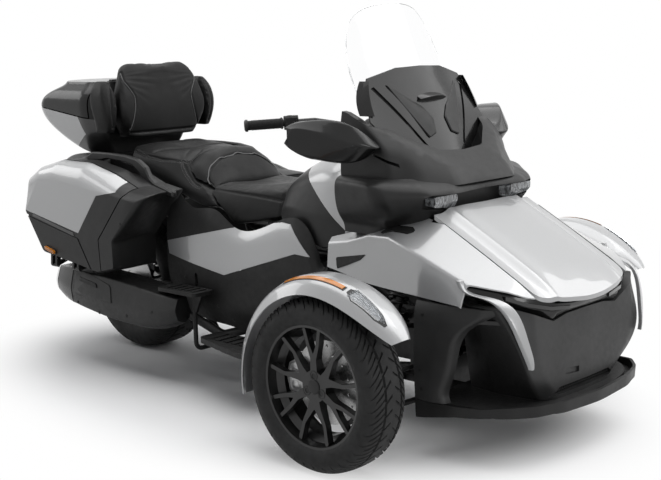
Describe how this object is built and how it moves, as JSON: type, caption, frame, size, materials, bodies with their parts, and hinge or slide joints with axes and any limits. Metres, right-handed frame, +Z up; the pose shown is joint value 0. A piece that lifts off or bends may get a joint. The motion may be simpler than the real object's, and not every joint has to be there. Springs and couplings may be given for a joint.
{
  "type": "motorized trike",
  "caption": "Touring trike with two steered front wheels and one driven rear wheel, opening front trunk, side cases and top case, tall wind screen and two seats.",
  "frame": {"origin": "on the ground, in the middle plane, half way along the whole length", "axes": "+Z up, the trike faces -Y, its right side is -X"},
  "size_m": [1.5534, 2.8319, 1.464],
  "materials": {
    "silver": "gloss metallic paint",
    "gloss_black": "gloss",
    "dark_plastic": "fine grain",
    "black_steel": "satin black",
    "cast_grey": "cast",
    "rim_black": "gloss black",
    "tyre_rubber": "matte",
    "disc_steel": "machined",
    "seat_cover": "grained vinyl",
    "grip_rubber": "ribbed",
    "clear_screen": "clear",
    "lamp_lens": "clear lens",
    "red_lens": "red lens",
    "mirror": "mirror"
  },
  "bodies": {
    "trike": {"backrest": "seat_cover", "cowl": "dark_plastic", "dash": "dark_plastic", "display": "gloss_black", "engine_block": "cast_grey", "exhaust": "black_steel", "floorboards": "dark_plastic", "frame": "black_steel", "front_fascia": "dark_plastic", "front_lamps": "lamp_lens", "front_sides": "silver", "grab_rails": "black_steel", "knee_pads": "dark_plastic", "lamp_band": "gloss_black", "mirror_glass": "mirror", "mirror_pods": "gloss_black", "mudguard": "dark_plastic", "pannier_tubs": "dark_plastic", "passenger_seat": "seat_cover", "radiators": "black_steel", "rear_carrier": "dark_plastic", "rider_seat": "seat_cover", "shock_absorbers": "black_steel", "side_inserts": "silver", "side_panels": "dark_plastic", "splitter": "dark_plastic", "swingarm": "black_steel", "tail_lamps": "red_lens", "tank_cover": "silver", "top_case_tub": "silver", "trunk_tub": "dark_plastic", "visor": "gloss_black", "wind_screen": "clear_screen", "wishbones": "black_steel"},
    "hood_lid": {"hood": "silver"},
    "top_case_cover": {"top_case_lid": "gloss_black"},
    "side_lid_left": {"pannier_lid_left": "gloss_black", "pannier_panel_left": "silver"},
    "side_lid_right": {"pannier_lid_right": "gloss_black", "pannier_panel_right": "silver"},
    "bars": {"handlebar": "black_steel", "hand_controls": "grip_rubber"},
    "steer_left": {"knuckle_left": "cast_grey", "fender_left": "silver"},
    "steer_right": {"knuckle_right": "cast_grey", "fender_right": "silver"},
    "wheel_left": {"rim_front_left": "rim_black", "tyre_front_left": "tyre_rubber", "disc_front_left": "disc_steel"},
    "wheel_right": {"rim_front_right": "rim_black", "tyre_front_right": "tyre_rubber", "disc_front_right": "disc_steel"},
    "rods": {"tie_rods": "black_steel"},
    "wheel_rear": {"rim_rear": "rim_black", "tyre_rear": "tyre_rubber", "disc_rear": "disc_steel", "belt_pulley": "black_steel"}
  },
  "joints": [
    {"name": "hood_hinge", "type": "hinge", "parent": "trike", "child": "hood_lid", "pos_m": [0, -1.3955, 0.492], "axis": [1, 0, 0], "range_deg": [0, 58]},
    {"name": "top_case_hinge", "type": "hinge", "parent": "trike", "child": "top_case_cover", "pos_m": [0, 0.8995, 1.174], "axis": [1, 0, 0], "range_deg": [0, 62]},
    {"name": "side_lid_left_hinge", "type": "hinge", "parent": "trike", "child": "side_lid_left", "pos_m": [0.47, 0.7555, 0.424], "axis": [0, 1, 0], "range_deg": [0, 60]},
    {"name": "side_lid_right_hinge", "type": "hinge", "parent": "trike", "child": "side_lid_right", "pos_m": [-0.47, 0.7555, 0.424], "axis": [0, 1, 0], "range_deg": [-60, 0]},
    {"name": "handlebar_turn", "type": "hinge", "parent": "trike", "child": "bars", "pos_m": [0, -0.4725, 0.985], "axis": [0, 0.5299, 0.848], "range_deg": [-30, 30]},
    {"name": "knuckle_left_turn", "type": "hinge", "parent": "trike", "child": "steer_left", "pos_m": [0.595, -0.8445, 0.281], "axis": [0, 0, 1], "range_deg": [-25.5, 25.5]},
    {"name": "knuckle_right_turn", "type": "hinge", "parent": "trike", "child": "steer_right", "pos_m": [-0.595, -0.8445, 0.281], "axis": [0, 0, 1], "range_deg": [-25.5, 25.5]},
    {"name": "tie_rod_slide", "type": "slide", "parent": "trike", "child": "rods", "axis": [1, 0, 0], "range_m": [-0.05, 0.05]},
    {"name": "wheel_left_spin", "type": "hinge", "parent": "steer_left", "child": "wheel_left", "pos_m": [0.69, -0.8445, 0.281], "axis": [1, 0, 0], "continuous": true},
    {"name": "wheel_right_spin", "type": "hinge", "parent": "steer_right", "child": "wheel_right", "pos_m": [-0.69, -0.8445, 0.281], "axis": [1, 0, 0], "continuous": true},
    {"name": "wheel_rear_spin", "type": "hinge", "parent": "trike", "child": "wheel_rear", "pos_m": [0, 0.8695, 0.303], "axis": [1, 0, 0], "continuous": true}
  ],
  "couplings": [
    {"joint": "knuckle_left_turn", "follows": "handlebar_turn", "ratio": 0.83333},
    {"joint": "knuckle_right_turn", "follows": "handlebar_turn", "ratio": 0.83333},
    {"joint": "tie_rod_slide", "follows": "handlebar_turn", "m_per_rad": 0.0928}
  ]
}
